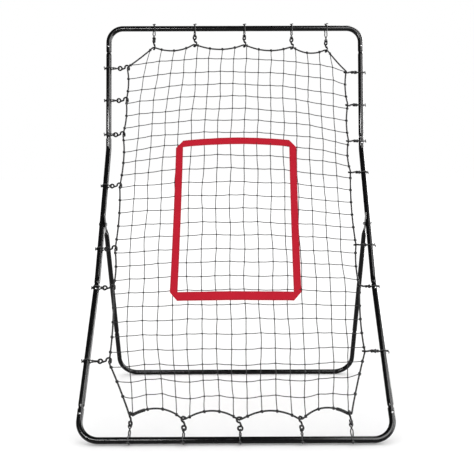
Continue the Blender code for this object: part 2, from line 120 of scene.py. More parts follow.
# pivot fasteners: distances outward from the side tube's axis
HEAD_SEAT = FRONT_RADIUS + 0.0003
HEAD_HEIGHT = 0.0020
HEAD_SKIRT = 0.0006
HEAD_RADIUS = 0.0060
BOLT_RADIUS = 0.0030
WASHER_RADIUS = 0.0065
WASHER_BORE = 0.0033
WASHER_THICKNESS = 0.0010
WASHER_TOP = LEG_TOP_X - PLATE_HALF_THICKNESS - 0.0003 - HALF_WIDTH
NUT_CORNER = 0.0057
NUT_TOP = WASHER_TOP - WASHER_THICKNESS - 0.0003
COLLAR_RADIUS = 0.0045
BOLT_TIP = NUT_TOP - 0.0045 - 0.0008

# ties: place along the side (or X on a bar), reach from the tube's centre to the border cord,
# how far the hook is turned from lying flat in the net's surface, and the distance between the
# loop's two strands
LEFT_TIES = ((1.538, 0.078, 20, 0.0042), (1.404, 0.073, 15, 0.0042), (1.262, 0.060, 25, 0.0042),
             (1.027, 0.058, 20, 0.0042), (0.749, 0.058, 35, 0.0044), (0.585, 0.063, 20, 0.0044),
             (0.284, 0.078, 10, 0.0042))
RIGHT_TIES = ((1.519, 0.062, 70, 0.0044), (1.383, 0.056, 65, 0.0044), (1.233, 0.054, 75, 0.0044),
              (1.088, 0.054, 55, 0.0046), (0.763, 0.056, 70, 0.0060), (0.588, 0.056, 70, 0.0080),
              (0.320, 0.066, 60, 0.0044))
TOP_TIES = ((-0.335, 0.080, 70, 0.0080), (-0.166, 0.068, 50, 0.0044), (0.040, 0.070, 65, 0.0050),
            (0.236, 0.079, 60, 0.0050), (0.379, 0.092, 70, 0.0080))
BOTTOM_TIES = ((-0.352, 0.088, 75, 0.0034), (-0.173, 0.073, 45, 0.0050),
               (0.014, 0.071, 15, 0.0034), (0.218, 0.072, 50, 0.0044), (0.383, 0.090, 70, 0.0070))

# the border cord: how it passes through a hook from front to back, and how it bows between hooks
JOG = 0.0034
JOG_RUN = 0.0055
SAG_SIDE = 0.006
SAG_TOP = 0.018
SAG_BOTTOM = 0.029
SAG_CORNER = 0.002
BORDER_STEP = 0.03
BORDER_RADIUS = 0.0032
HIGH_RIGHT, LOW_RIGHT, LOW_LEFT, HIGH_LEFT = 5, 12, 16, 23     # the corner ties, counted clockwise
LASHING_LENGTH = 0.042
LASHING_TURNS = 15
LASHING_SIZE = 1.45
LASHING_TWINE = 0.0014

# the net: (number of rows, height) groups from the top down, and how hard the twines pull
NET_COLUMNS = 17
NET_ROWS = 27
LEFT_ROWS = ((1, 0.050), (1, 0.062), (7, 0.050), (9, 0.056), (8, 0.058), (1, 0.074))
RIGHT_ROWS = ((1, 0.050), (1, 0.053), (7, 0.051), (9, 0.056), (6, 0.057), (1, 0.050), (2, 0.078))
INNER_ROWS = ((1, 0.042), (8, 0.048), (9, 0.058), (9, 0.060))
MEAN_ROW = 0.056
CORNER_MESH = 0.12           # width of the two lowest corner meshes against the others
TAUT_PULL = 1.2              # pull along the rows against pull along the columns
SLACK_PULL = (0.9, 0.4, 0.16, 0.11)
RELAX_STEPS = 3000
TWINE_RADIUS = 0.0016
TWINE_BELLY = 0.0011
KNOT_RADIUS = 0.0031
HITCH_TURNS = 2.6
HITCH_STEPS = 26
HITCH_LENGTH = 0.0058

# elastic loops and hooks
ELASTIC_RADIUS = 0.0022
SQUEEZED_RADIUS = 0.0015     # under the front bar, where the loops clear the ground
TOUCH = 0.0001               # clearance between things that touch
NECK_FROM_WRAP = 0.0040
LOOP_STEPS = 6
SEIZING_RADIUS = 0.0013
SEIZING_TURNS = 2.2
SEIZING_STEPS = 12
SEIZING_LENGTH = 0.0030
KNOT_CORD_RADIUS = 0.0021
KNOT_TURN_RADIUS = 0.0019
KNOT_SWING = 45.0            # turns the lowest knots away from the ground
HOOK_WIRE = 0.0034
EYE_RADIUS = 0.0074
HOOK_BEND = 0.0092
HOOK_RISE = 0.0030
HOOK_LENGTH = 0.0315
HOOK_STEP = 34.0

# the strike-zone band
BAND_HALF = 0.2440
BAND_BOTTOM = 0.5155
BAND_TOP = 1.212
BAND_WIDTH = 0.029
BAND_BOTTOM_WIDTH = 0.037
BAND_THICKNESS = 0.0012
BAND_LIFT = 0.0026
BAND_EDGE = 0.00035          # how much each face is rounded down at the band's edges
BAND_STEPS = 6
BAND_LEANS = (37.0, 22.0)    # the band's own lean at its foot and at its head
BAND_SHIFT = 0.0045          # its head sits a little to the right
TOP_BOW = 0.0107             # rise of the upper length in its middle, and at its right end
TOP_TILT = 0.0010
LOOK_FROM = 0.25             # how far in front of the frame the net is looked at
STITCH = 0.0032
STITCH_GAP = 0.0016
STITCH_INSET = 0.0032
THREAD_RADIUS = 0.00045

# stage, light and camera
FLOOR_HALF = 30.0
FLOOR_Z = -0.0003
SKY = 1.20
SKY_IN_GLOSS = 0.10
# soft boxes that only the gloss shows: place, target, size, watts
SOFTBOXES = (("strip_right_back", (2.2, 1.3, 1.2), (0.3, 0.0, 0.8), (1.4, 2.6), 330.0),
             ("strip_left_front", (-1.2, -2.3, 1.7), (-0.3, 0.0, 0.3), (1.6, 0.25), 220.0),
             ("strip_right", (2.7, -0.7, 1.2), (0.3, 0.0, 0.8), (1.5, 2.4), 190.0),
             ("strip_right_front", (1.35, -2.0, 1.9), (0.0, 0.0, 0.8), (1.5, 2.4), 260.0),
             ("strip_top", (1.2, 0.9, 2.6), (0.4, 0.0, 1.2), (1.2, 0.7), 45.0))
CAMERA_PLACE = (0.0, FRONT_BAR_Y - 2.253, FRONT_BAR_Z + 0.916)
CAMERA_LENS = 54.1
CAMERA_PITCH = 6.21
CAMERA_YAW = -0.13
CAMERA_ROLL = 0.17


# ---- the frame's side profile
def lean_direction(section):
    lean = radians(SECTION_LEANS[section])
    return Vector((0, sin(lean), cos(lean)))


def front_normal(section):
    lean = radians(SECTION_LEANS[section])
    return Vector((0, -cos(lean), sin(lean)))


def section_at(place):
    if place < LOWER_KINK:
        return 0
    return 1 if place < UPPER_KINK else 2


def kink_share(place):
    """(kink's section, how far through its bend a place is) or None away from the bends."""
    for kink, section in ((LOWER_KINK, 0), (UPPER_KINK, 1)):
        if abs(place - kink) < KINK_REACH:
            return section, (place - kink + KINK_REACH) / (2 * KINK_REACH)
    return None


def front_at(place):
    """The direction square to the frame's surface, towards the player."""
    bend = kink_share(place)
    if bend is None:
        return front_normal(section_at(place))
    return front_normal(bend[0]).lerp(front_normal(bend[0] + 1), bend[1]).normalized()


def run_at(place):
    """The direction up the side at a place."""
    front = front_at(place)
    return Vector((0, front.z, -front.y))


def side_point(place, x=0, forward=0):
    """A point of the frame's surface: a place along the side, X, and a height in front."""
    corners = [Vector((x, FRONT_BAR_Y, FRONT_BAR_Z))]
    for section in (0, 1):
        corners.append(corners[-1] + SECTION_LENGTHS[section] * lean_direction(section))
    bend = kink_share(place)
    if bend is None:
        section = section_at(place)
        run = place - (0, LOWER_KINK, UPPER_KINK)[section]
        return corners[section] + run * lean_direction(section) + forward * front_normal(section)
    section, part = bend
    corner = corners[section + 1]
    before = corner - KINK_REACH * lean_direction(section)
    after = corner + KINK_REACH * lean_direction(section + 1)
    point = (1 - part) ** 2 * before + 2 * part * (1 - part) * corner + part ** 2 * after
    return point + forward * front_at(place)


# ---- mesh building
class Shape:
    """The points, faces and UVs of one piece. U goes round a cord, V along it in metres."""

    def __init__(self):
        self.points = []
        self.faces = []
        self.uvs = []

    def ring(self, points, along):
        """A ring of points at a length along the piece."""
        first = len(self.points)
        self.points += points
        return range(first, len(self.points)), along

    def skin(self, rings, closing=None):
        """Faces between rings. closing is the length where the last ring meets the first again;
        without it both ends are capped."""
        spans = list(zip(rings, rings[1:]))
        if closing is not None:
            spans.append((rings[-1], (rings[0][0], closing)))
        for (ring, low), (after, high) in spans:
            sides = len(ring)
            for step in range(sides):
                beyond = (step + 1) % sides
                self.faces.append((ring[step], ring[beyond], after[beyond], after[step]))
                u, v = step / sides, (step + 1) / sides
                self.uvs.append(((u, low), (v, low), (v, high), (u, high)))
        if closing is None:
            for ring in (rings[0][0][::-1], rings[-1][0]):
                self.faces.append(tuple(ring))
                self.uvs.append(((0, 0),) * len(ring))

    def sweep(self, stations, sides=8, closed=False):
        """A tube through (point, direction, radius) stations, untwisted along its way."""
        frames = []
        length = 0
        for point, direction, radius in stations:
            direction = direction.normalized()
            if frames:
                turn = frames[-1][1].rotation_difference(direction)
                normal = (turn @ normal).normalized()
                length += (point - frames[-1][0]).length
            else:
                normal = direction.orthogonal().normalized()
            normal = (normal - normal.dot(direction) * direction).normalized()
            frames.append((point, direction, radius, normal, length))
        twist = 0
        if closed:
            _, heading, _, start, _ = frames[0]
            last = direction.rotation_difference(heading) @ normal
            twist = copysign(last.angle(start), last.cross(start).dot(heading))
        rings = []
        for index, (point, direction, radius, normal, along) in enumerate(frames):
            normal = Matrix.Rotation(twist * index / len(frames), 3, direction) @ normal
            side = direction.cross(normal)
            angles = [2 * pi * step / sides for step in range(sides)]
            rings.append(self.ring([point + radius * (cos(angle) * normal + sin(angle) * side)
                                    for angle in angles], along))
        self.skin(rings, along + (frames[0][0] - point).length if closed else None)

    def cord(self, points, radius, sides=8, closed=False, taper=0):
        """A tube along a list of points, thinner at its ends by taper. radius is one value or
        one for each point."""
        count = len(points)
        radii = radius if isinstance(radius, list) else [radius] * count
        stations = []
        for index, point in enumerate(points):
            if closed:
                direction = points[(index + 1) % count] - points[index - 1]
            else:
                direction = points[min(index + 1, count - 1)] - points[max(index - 1, 0)]
            at_end = not closed and index in (0, count - 1)
            stations.append((point, direction, radii[index] * (1 - (taper if at_end else 0))))
        self.sweep(stations, sides, closed)

    def smooth_cord(self, points, steps, radius, sides=8, closed=False, taper=0):
        self.cord(smooth_path(points, steps, closed), radius, sides, closed, taper)

    def turned(self, profile, origin, axis, steps=32):
        """A solid turned round an axis from (radius, height) pairs, from one end to the other."""
        self.sweep([(origin + height * axis, axis, radius) for radius, height in profile], steps)

    def blob(self, centre, size, axis, sides=8, rings=5):
        """A rounded lump: half lengths (along the axis, across it)."""
        along, across = size
        angles = [pi * (step + 0.35) / (rings + 0.7) for step in range(rings + 1)]
        self.sweep([(centre - cos(angle) * along * axis, axis, across * sin(angle))
                    for angle in angles], sides)

    def finish(self, name, material, body, node=None, slot=None, crease=CREASE):
        """The finished piece: it rides on a body and stands for a CAD node."""
        mesh = bpy.data.meshes.new(name)
        mesh.from_pydata(self.points, [], self.faces)
        layer = mesh.uv_layers.new(name="UVMap")
        layer.data.foreach_set("uv", [value for face in self.uvs for uv in face for value in uv])
        mesh.materials.append(material)
        mesh.shade_smooth()
        mesh.set_sharp_from_angle(angle=radians(crease))
        made = placed(name, mesh)
        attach(made, body)
        if node:
            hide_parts(node)
        return made


def placed(name, data):
    """A new object in the scene."""
    made = bpy.data.objects.new(name, data)
    bpy.context.scene.collection.objects.link(made)
    return made


def outward(made, weld=None):
    """Turn every face of a closed piece outward, after joining points closer than weld."""
    work = bmesh.new()
    work.from_mesh(made.data)
    if weld:
        bmesh.ops.remove_doubles(work, verts=work.verts, dist=weld)
    bmesh.ops.recalc_face_normals(work, faces=work.faces)
    work.to_mesh(made.data)
    work.free()


def smooth_path(points, steps=5, closed=False):
    """A Catmull-Rom curve through the points."""
    count = len(points)
    out = []
    for index in range(count if closed else count - 1):
        if closed:
            a, b, c, d = (points[(index + shift) % count] for shift in (-1, 0, 1, 2))
        else:
            b, c = points[index], points[index + 1]
            a = points[index - 1] if index else b + (b - c)
            d = points[index + 2] if index + 2 < count else c + (c - b)
        for step in range(steps):
            t = step / steps
            out.append(0.5 * (2 * b + t * (c - a) + t * t * (2 * a - 5 * b + 4 * c - d)
                              + t ** 3 * (3 * b - a - 3 * c + d)))
    if not closed:
        out.append(points[-1].copy())
    return out


def coiled(middle, radius, turns, steps):
    """Points wound round a middle line, which gives (point, direction) at a share of its length."""
    out = []
    for step in range(steps + 1):
        point, run = middle(step / steps)
        angle = 2 * pi * turns * step / steps
        side = run.orthogonal().normalized()
        out.append(point + radius * (cos(angle) * side + sin(angle) * run.cross(side)))
    return out


def bend(before, corner, after, bend_radius, radius):
    """Stations of a tube's round bend at a corner."""
    first = (before - corner).normalized()
    second = (after - corner).normalized()
    half_angle = first.angle(second) / 2
    tangent = bend_radius / tan(half_angle)
    centre = corner + (first + second).normalized() * (bend_radius / sin(half_angle))
    start = corner + tangent * first - centre
    axis = start.cross(corner + tangent * second - centre).normalized()
    arc = pi - 2 * half_angle
    arms = [Matrix.Rotation(arc * step / BEND_STEPS, 3, axis) @ start
            for step in range(BEND_STEPS + 1)]
    return [(centre + arm, axis.cross(arm).normalized(), radius) for arm in arms]


def u_bends(ends, corners, bend_radius, radius):
    """Stations of the two bends of a U, from its left end to its right end."""
    return (bend(ends[0], corners[0], corners[1], bend_radius, radius)
            + bend(corners[0], corners[1], ends[1], bend_radius, radius))


# ---- materials
class Nodes:
    """A short way to build a node material."""

    def __init__(self, name):
        self.material = bpy.data.materials.new(name)
        self.material.use_nodes = True
        self.tree = self.material.node_tree
        self.shader = self.tree.nodes["Principled BSDF"]

    def add(self, kind, **inputs):
        """A node with some of its inputs fed."""
        made = self.tree.nodes.new(kind)
        for name, value in inputs.items():
            self.feed(value, made.inputs[name.replace("_", " ")])
        return made

    def feed(self, value, socket):
        if isinstance(value, bpy.types.NodeSocket):
            self.tree.links.new(value, socket)
        else:
            socket.default_value = value

    def math(self, operation, first, second=0):
        made = self.add("ShaderNodeMath")
        made.operation = operation
        self.feed(first, made.inputs[0])
        self.feed(second, made.inputs[1])
        return made.outputs[0]

    def noise(self, scale, detail=3):
        place = self.add("ShaderNodeTexCoord").outputs["Object"]
        return self.add("ShaderNodeTexNoise", Scale=scale, Detail=detail,
                        Vector=place).outputs["Fac"]

    def blend(self, share, first, second):
        """Two colours mixed; the first may come from another node."""
        made = self.add("ShaderNodeMix")
        made.data_type = "RGBA"
        self.feed(share, made.inputs["Factor"])
        for socket, colour in (("A", first), ("B", second)):
            self.feed((*colour, 1) if isinstance(colour, tuple) else colour, made.inputs[socket])
        return made.outputs["Result"]

    def span(self, value, low, high):
        return self.add("ShaderNodeMapRange", Value=value, To_Min=low,
                        To_Max=high).outputs["Result"]

    def uv(self):
        split = self.add("ShaderNodeSeparateXYZ",
                         Vector=self.add("ShaderNodeTexCoord").outputs["UV"])
        return split.outputs["X"], split.outputs["Y"]

    def wave(self, around, along, turns, per_metre):
        """A sine that winds round a cord: 0 to 1."""
        angle = self.math("ADD", self.math("MULTIPLY", around, turns),
                          self.math("MULTIPLY", along, per_metre))
        sine = self.math("SINE", self.math("MULTIPLY", angle, 2 * pi))
        return self.math("ADD", self.math("MULTIPLY", sine, 0.5), 0.5)

    def rough_over(self, height, share, scale, detail=3):
        """A height with a share of fine noise on it."""
        return self.math("ADD", height, self.math("MULTIPLY", self.noise(scale, detail), share))

    def bump(self, height, strength, distance):
        made = self.add("ShaderNodeBump", Strength=strength, Distance=distance, Height=height)
        self.feed(made.outputs["Normal"], self.shader.inputs["Normal"])

    def surface(self, colour, roughness, metallic=0, ior=1.45, sheen=0):
        for name, value in (("Base Color", colour), ("Roughness", roughness),
                            ("Metallic", metallic), ("IOR", ior), ("Sheen Weight", sheen)):
            self.feed(value, self.shader.inputs[name])
        return self.material


def powder_coat():
    """Gloss black powder coat: a fine orange peel, faint dust, and rubbed edges."""
    make = Nodes("gloss_black_powder_coat")
    cloud = make.noise(35, 4)
    worn = make.span(make.noise(160, 5), -0.6, 0.25)
    edge = make.add("ShaderNodeNewGeometry").outputs["Pointiness"]
    rubbed = make.math("MULTIPLY", make.span(edge, -5, 5.4), worn)
    rubbed = make.math("MAXIMUM", make.math("MINIMUM", rubbed, 0.3), 0)
    dark = make.blend(cloud, (0.0015, 0.0015, 0.0017), (0.0045, 0.0045, 0.0048))
    make.bump(make.noise(900, 2), 0.06, 0.0004)
    return make.surface(make.blend(rubbed, dark, (0.06, 0.06, 0.063)),
                        make.span(cloud, 0.12, 0.22), ior=1.21)


def speckled(name, cloud_scale, dark, light, bump, grain_scale=None, **looks):
    """Zinc or coated wire: a cloudy tone with fine bumps of a strength and a depth."""
    make = Nodes(name)
    cloud = make.noise(cloud_scale, 4)
    make.bump(make.noise(grain_scale) if grain_scale else cloud, *bump)
    return make.surface(make.blend(cloud, dark, light), make.span(cloud, 0.35, 0.55), **looks)


def braid(name, dark, light, per_metre, roughness, depth):
    """A braided cord: two families of strands that wind round it in opposite ways. Its colour is
    darker in the grooves between the strands, a painted shade.
    """
    make = Nodes(name)
    around, along = make.uv()
    over = make.math("MAXIMUM", make.wave(around, along, 3, per_metre),
                     make.wave(around, along, -3, per_metre))
    # painted shade: the colour follows the strands' height, darker in the grooves, with a random
    # tone on top
    share = make.math("MULTIPLY", over, make.span(make.noise(60), 0.6, 1))
    make.bump(make.rough_over(over, 0.35, 2500, 2), 0.7, depth)
    return make.surface(make.blend(share, dark, light), roughness, ior=1.25, sheen=0.03)


def twisted_twine():
    make = Nodes("net_twine")
    ply = make.wave(*make.uv(), 3, 260)
    # painted shade: the colour follows the ply's height, darker in the grooves of the twist, with a
    # random tone on top
    share = make.math("MULTIPLY", ply, make.span(make.noise(14, 2), 0.5, 1.2))
    make.bump(make.rough_over(ply, 0.3, 3000, 2), 0.8, 0.0004)
    return make.surface(make.blend(share, (0.008, 0.008, 0.009), (0.034, 0.034, 0.036)), 0.8,
                        ior=1.2)


def red_webbing():
    """Woven webbing: ribs across it, warp threads along it, and slightly faded patches. Its colour
    is darker in the grooves of the weave, a painted shade.
    """
    make = Nodes("red_webbing")
    across, along = make.uv()
    rib = make.wave(across, along, 0, 620)
    warp = make.wave(across, along, 14, 0)
    weave = make.math("ADD", make.math("MULTIPLY", rib, 0.65), make.math("MULTIPLY", warp, 0.35))
    tone = make.span(make.noise(22, 4), 0.35, 0.9)
    # painted shade: the weave's height darkens the colour in its grooves; the tone adds faded
    # patches
    share = make.math("ADD", make.math("MULTIPLY", weave, 0.35), make.math("MULTIPLY", tone, 0.65))
    make.bump(make.rough_over(weave, 0.3, 2500), 0.6, 0.0006)
    return make.surface(make.blend(share, (0.36, 0.010, 0.021), (0.57, 0.017, 0.036)), 0.7,
                        ior=1.05)


def red_thread():
    make = Nodes("red_thread")
    ply = make.wave(*make.uv(), 2, 900)
    make.bump(ply, 0.6, 0.0003)
    # painted shade: the colour follows the ply's height, darker in the grooves of the twist
    return make.surface(make.blend(ply, (0.16, 0.003, 0.010), (0.30, 0.008, 0.020)), 0.6, ior=1.2)


COAT = powder_coat()
FASTENER = speckled("dull_zinc", 500, (0.12, 0.12, 0.122), (0.26, 0.26, 0.265), (0.12, 0.0003),
                    metallic=1)
BUTTON = speckled("bright_zinc", 700, (0.09, 0.09, 0.092), (0.20, 0.20, 0.20), (0.1, 0.0002),
                  1500, metallic=1)
WIRE = speckled("black_coated_wire", 220, (0.004, 0.004, 0.004), (0.014, 0.014, 0.015),
                (0.15, 0.0003), 1200, ior=1.16)
TWINE = twisted_twine()
CORD = braid("border_cord", (0.003, 0.003, 0.003), (0.018, 0.018, 0.019), 150, 0.75, 0.0007)
ELASTIC = braid("elastic_cord", (0.004, 0.004, 0.004), (0.022, 0.022, 0.023), 300, 0.6, 0.0004)
WEBBING = red_webbing()
THREAD = red_thread()


# ---- tubes
def socket(path, full):
    """Stations of an open, rounded tube end. path gives (point, direction) at a depth inside."""
    bore = full - WALL
    steps = ((BORE_DEPTH, bore), (0.5 * INSERTION, bore), (RIM_ROUND, bore),
             (0, bore + RIM_ROUND), (0, full - RIM_ROUND), (RIM_ROUND, full))
    return [(*path(depth), radius) for depth, radius in steps]


def eased(share):
    """A share of a way, started and ended gently."""
    return share * share * (3 - 2 * share)


def swaged(path, full):
    """Stations of a tube end that is squeezed down to slide into a socket."""
    neck = full - NECK_DROP
    steps = [(-INSERTION, neck - RIM_ROUND), (RIM_ROUND - INSERTION, neck), (0, neck),
             (NECK_SHOWN, neck)]
    steps += [(NECK_SHOWN + share * CONE, neck + eased(share) * NECK_DROP)
              for share in (0.25, 0.5, 0.75, 1)]
    return [(*path(depth), radius) for depth, radius in steps]


def side_path(rim, into, x):
    """(point, direction) at a depth from a rim into the tube, which lies up or down from it."""
    def path(depth):
        place = rim + into * depth
        return side_point(place, x), into * run_at(place)
    return path


def reverse(stations):
    return [(point, -direction, radius) for point, direction, radius in stations[::-1]]


def kink_stations(x, kink, radius):
    places = [kink + KINK_REACH * (step / 4 - 1) for step in range(9)]
    return [(side_point(place, x), run_at(place), radius) for place in places]


def tube(name, stations, body=ROOT):
    shape = Shape()
    shape.sweep(stations, TUBE_SIDES)
    return shape.finish(f"{name}_smooth", COAT, body, name, "frame_black")


def drill(made, seat, normal, radius):
    """A round hole through the tube wall for a snap button."""
    shape = Shape()
    shape.turned([(radius, HOLE_FROM), (radius, HOLE_TO)], seat, normal, BUTTON_SIDES)
    mesh = bpy.data.meshes.new("hole")
    mesh.from_pydata(shape.points, [], shape.faces)
    cutter = placed("hole", mesh)
    boolean = made.modifiers.new("hole", "BOOLEAN")
    boolean.operation = "DIFFERENCE"
    boolean.solver = "EXACT"
    boolean.object = cutter
    bpy.context.view_layer.update()
    graph = bpy.context.evaluated_depsgraph_get()
    cut = bpy.data.meshes.new_from_object(made.evaluated_get(graph))
    made.modifiers.remove(boolean)
    made.data = cut
    bpy.data.objects.remove(cutter, do_unlink=True)
    cut.set_sharp_from_angle(angle=radians(CREASE))


def side_tubes(side, label):
    """The three tubes of one side: each foot is swaged, and so is the uppermost's head."""
    x = side * HALF_WIDTH
    full = FRONT_RADIUS
    kinks = kink_stations(x, LOWER_KINK, full) + kink_stations(x, UPPER_KINK, full)
    tubes = {}
    for part, foot, between, end, head in (("lower", LOWER_RIM, [], socket, MIDDLE_RIM),
                                           ("middle", MIDDLE_RIM, kinks, socket, UPPER_RIM),
                                           ("upper", UPPER_RIM, [], swaged, TOP_RIM)):
        stations = swaged(side_path(foot, 1, x), full) + between
        stations += reverse(end(side_path(head, -1, x), full))
        tubes[part] = tube(f"{part}_side_tube_{label}", stations)
    return tubes


def u_tube(name, rim, into, bar, bend_radius):
    corners = [side_point(bar, side * HALF_WIDTH) for side in (-1, 1)]
    ends = [side_point(rim, side * HALF_WIDTH) for side in (-1, 1)]
    return tube(name, socket(side_path(rim, into, -HALF_WIDTH), FRONT_RADIUS)
                + u_bends(ends, corners, bend_radius, FRONT_RADIUS)
                + reverse(socket(side_path(rim, into, HALF_WIDTH), FRONT_RADIUS)))


# ---- rear leg
PIVOT_POINT = side_point(PIVOT)
LEG_FOOT = Vector((0, REAR_BAR_Y, REAR_BAR_Z))
LEG_LENGTH = (LEG_FOOT - PIVOT_POINT).length
LEG_LEAN = atan2(LEG_FOOT.y - PIVOT_POINT.y, PIVOT_POINT.z - LEG_FOOT.z)
LEG_RIM = LEG_LENGTH - LEG_RIM_ABOVE_BAR
LEG_BACK = Vector((0, cos(LEG_LEAN), sin(LEG_LEAN)))


def leg_point(side, along):
    part = along / LEG_LENGTH
    middle = PIVOT_POINT.lerp(LEG_FOOT, part)
    return Vector((side * (LEG_TOP_X + (LEG_FOOT_X - LEG_TOP_X) * part), middle.y, middle.z))


def leg_section(along):
    """Half thickness, half width and roundness of a rear leg at a distance below the pivot."""
    flat = PLATE_HALF_THICKNESS
    tip = max(0, (-along - PLATE_TIP_FROM) / PLATE_TIP)
    part = min(1, max(0, (along - PLATE_END) / (ROUND_FROM - PLATE_END)))
    wide = PLATE_HALF_WIDTH * sqrt(max(0, 1 - 0.97 * tip * tip))
    thin = flat * (1 - 0.45 * tip ** 4)
    return (thin + (REAR_RADIUS - flat) * eased(part),
            wide + (REAR_RADIUS - PLATE_HALF_WIDTH) * eased(part), part)


def rear_leg(side, label):
    """A tube pressed flat at its upper end."""
    stations = [PLATE_TIP * (step / 12) ** 2 - PLATE_ABOVE_PIVOT for step in range(13)]
    stations += [0, 0.5 * PLATE_END]
    stations += [PLATE_END + (ROUND_FROM - PLATE_END) * step / 8 for step in range(9)]
    ends = [(along, leg_section(along)) for along in stations]
    bore = REAR_RADIUS - WALL
    for depth, radius in ((RIM_ROUND, REAR_RADIUS), (0, REAR_RADIUS - RIM_ROUND),
                          (0, bore + RIM_ROUND), (RIM_ROUND, bore), (BORE_DEPTH, bore)):
        ends.append((LEG_RIM - depth, (radius, radius, 1)))
    shape = Shape()
    rings = []
    for along, (thin, wide, roundness) in ends:
        centre = leg_point(side, along)
        power = 0.45 + 0.55 * roundness
        points = []
        for step in range(TUBE_SIDES):
            angle = 2 * pi * (step + 0.5) / TUBE_SIDES
            across = copysign(abs(cos(angle)) ** power, cos(angle)) * thin
            back = copysign(abs(sin(angle)) ** power, sin(angle)) * wide
            points.append(centre + Vector((across, 0, 0)) + back * LEG_BACK)
        rings.append(shape.ring(points, along))
    shape.skin(rings)
    name = f"rear_leg_{label}"
    made = shape.finish(f"{name}_smooth", COAT, REAR, name, "frame_black", crease=50)
    outward(made)
    return made


def rear_base():
    def leg_path(side):
        def path(depth):
            return leg_point(side, LEG_RIM + depth), leg_point(side, 1) - leg_point(side, 0)
        return path
    corners = [leg_point(side, LEG_LENGTH) for side in (-1, 1)]
    ends = [leg_point(side, LEG_RIM) for side in (-1, 1)]
    return tube("rear_base_u", swaged(leg_path(-1), REAR_RADIUS)
                + u_bends(ends, corners, REAR_CORNER, REAR_RADIUS)
                + reverse(swaged(leg_path(1), REAR_RADIUS)), REAR)


# ---- fasteners and buttons
def button(name, seat, normal, size, holed):
    """A spring button's domed pin, and its hole in the outer tube."""
    pin, crown = size
    dome = BUTTON_DOME * pin
    profile = [(pin, BUTTON_FOOT)]
    profile += [(pin * cos(angle), crown - dome + dome * sin(angle))
                for angle in (0, 0.25, 0.5, 0.8, 1.1, 1.4, 1.55)]
    shape = Shape()
    shape.turned(profile, seat, normal, BUTTON_SIDES)
    shape.finish(f"{name}_domed", BUTTON, f"{name}_body", name, "button_steel")
    drill(holed, seat, normal, pin + HOLE_PLAY)


def pivot_fasteners(side, label):
    """The bolt with its domed head outside the side tube, and its washer and nut on the leg."""
    centre = Vector((side * HALF_WIDTH, PIVOT_POINT.y, PIVOT_POINT.z))
    axis = Vector((side, 0, 0))
    rim = HEAD_RADIUS
    bolt = Shape()
    profile = [(BOLT_RADIUS - 0.0005, BOLT_TIP), (BOLT_RADIUS, BOLT_TIP + 0.0005),
               (BOLT_RADIUS, HEAD_SEAT), (rim - 0.0003, HEAD_SEAT), (rim, HEAD_SEAT + 0.0002),
               (rim, HEAD_SEAT + HEAD_SKIRT)]
    profile += [(rim * cos(angle),
                 HEAD_SEAT + HEAD_SKIRT + (HEAD_HEIGHT - HEAD_SKIRT) * sin(angle))
                for angle in (0.3, 0.6, 0.9, 1.2, 1.4)]
    bolt.turned(profile, centre, axis, 40)
    washer = Shape()
    low, high, rim = WASHER_TOP - WASHER_THICKNESS, WASHER_TOP, WASHER_RADIUS
    washer.turned([(WASHER_BORE, low), (rim - 0.0003, low), (rim, low + 0.0003),
                   (rim, high - 0.0003), (rim - 0.0003, high), (WASHER_BORE, high)],
                  centre, axis, 40)
    nut = Shape()
    nut.sweep([(centre + (NUT_TOP - depth) * axis, axis, NUT_CORNER - cut)
               for depth, cut in ((0, 0.0007), (0.0007, 0), (0.0029, 0), (0.0033, 0.0006))], 6)
    nut.turned([(COLLAR_RADIUS - 0.0006, NUT_TOP - 0.0045), (COLLAR_RADIUS, NUT_TOP - 0.0040),
                (COLLAR_RADIUS, NUT_TOP - 0.0032)], centre, axis, 32)
    for kind, shape, crease in (("bolt", bolt, CREASE), ("washer", washer, CREASE),
                                ("nut", nut, 25)):
        name = f"pivot_{kind}_{label}"
        made = shape.finish(f"{name}_fine", FASTENER, ROOT, name, "fastener_steel", crease)
    outward(made)


# ---- border cord
def border_stops():
    """The border's held points in order round the net, clockwise from the top left, with the
    cord's direction there and the hook's turn, and the sag between them."""
    def stops(ties, run, spot):
        return [(Vector(spot(place, reach)), Vector(run), turn) for place, reach, turn, _ in ties]
    top = stops(TOP_TIES, (1, 0), lambda x, reach: (x, TOP_BAR - reach))
    right = stops(RIGHT_TIES, (0, -1), lambda place, reach: (HALF_WIDTH - reach, place))
    bottom = stops(BOTTOM_TIES[::-1], (-1, 0), lambda x, reach: (x, reach))
    left = stops(LEFT_TIES[::-1], (0, 1), lambda place, reach: (reach - HALF_WIDTH, place))
    return (top, SAG_TOP), (right, SAG_SIDE), (bottom, SAG_BOTTOM), (left, SAG_SIDE)


def bowed(start, end, sag, count):
    """Points between two held points, bowed towards the net's middle."""
    run = (end - start).normalized()
    inward = Vector((run.y, -run.x))
    if inward.dot((start + end) / 2 - Vector((0, TOP_BAR / 2))) > 0:
        inward.negate()
    parts = [step / (count + 1) for step in range(1, count + 1)]
    return [start.lerp(end, part) + 4 * part * (1 - part) * sag * inward for part in parts]


def border_route():
    """(flat point, height in front) round the net, and the index of each held point."""
    stops = []
    for group, sag in border_stops():
        stops += [(*stop, sag) for stop in group[:-1]]
        stops.append((*group[-1], SAG_CORNER))
    route = []
    held_at = []
    for (held, run, turn, sag), (following, next_run, _, _) in zip(stops, stops[1:] + stops[:1]):
        jog = JOG * cos(radians(turn))
        lean = JOG_RUN * run
        held_at.append(len(route) + 1)
        route += [(held - lean, jog), (held, 0), (held + lean, -jog)]
        count = max(2, round((following - held).length / BORDER_STEP))
        between = bowed(held + lean, following - JOG_RUN * next_run, sag, count)
        route += [(point, 0) for point in between]
    return route, held_at


def surface_point(flat, forward=0):
    return side_point(flat.y, flat.x, forward)


ROUTE, HELD_AT = border_route()


def border_cord():
    points = [surface_point(flat, forward) for flat, forward in ROUTE]
    shape = Shape()
    shape.smooth_cord(points, 5, BORDER_RADIUS, 10, closed=True)
    shape.finish("border_cord_braided", CORD, ROOT, "net_border_cord", "cord_black")


